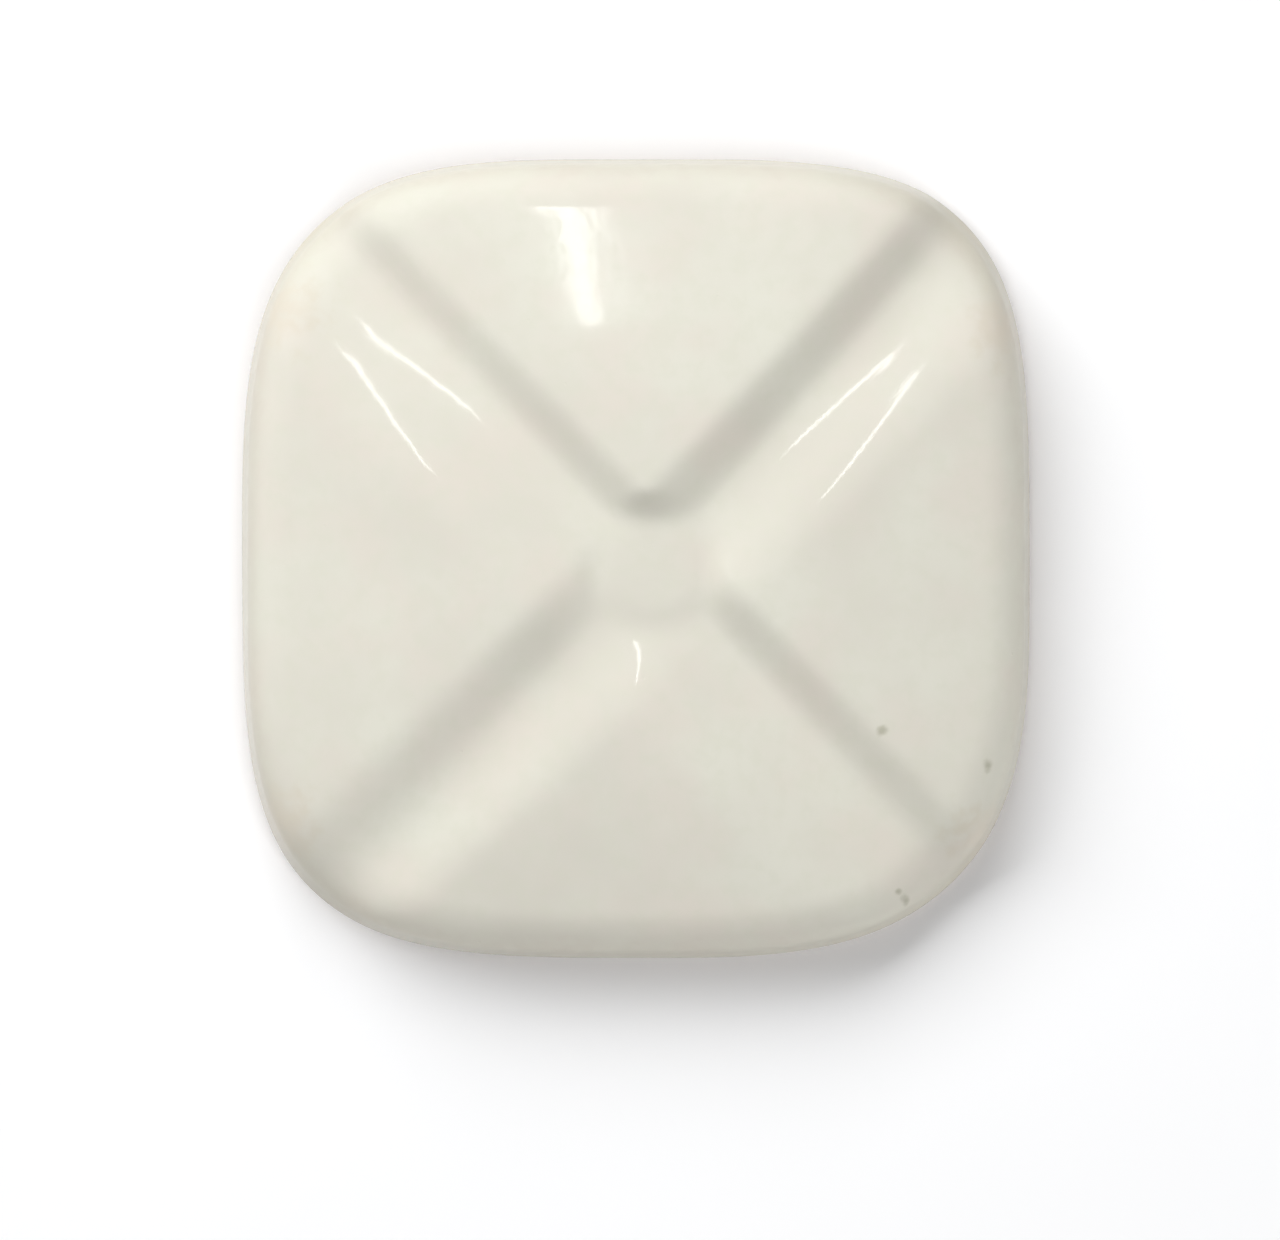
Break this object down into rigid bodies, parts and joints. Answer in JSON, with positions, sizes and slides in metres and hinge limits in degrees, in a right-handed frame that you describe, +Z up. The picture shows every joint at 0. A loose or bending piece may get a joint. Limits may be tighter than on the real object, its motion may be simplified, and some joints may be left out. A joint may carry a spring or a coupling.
{
  "type": "raised pavement marker",
  "caption": "Non-reflective road marker: a white glazed ceramic button with a crowned top, an X of pressed grooves and a gripping underside for adhesive.",
  "frame": {"origin": "under the middle of the outline, on the plane that the flat tips of the underside's grips rest on", "axes": "+Z up out of the road through the crown, X and Y across the two pairs of sides, with the X of grooves running between the corners"},
  "size_m": [0.1, 0.1014, 0.019],
  "materials": {
    "fired_body": "bare, fine-grained, matt buff",
    "white_glaze": "glossy opaque cream white"
  },
  "bodies": {
    "root": {"ceramic_body": "fired_body", "glaze_coat": "white_glaze"}
  },
  "joints": []
}
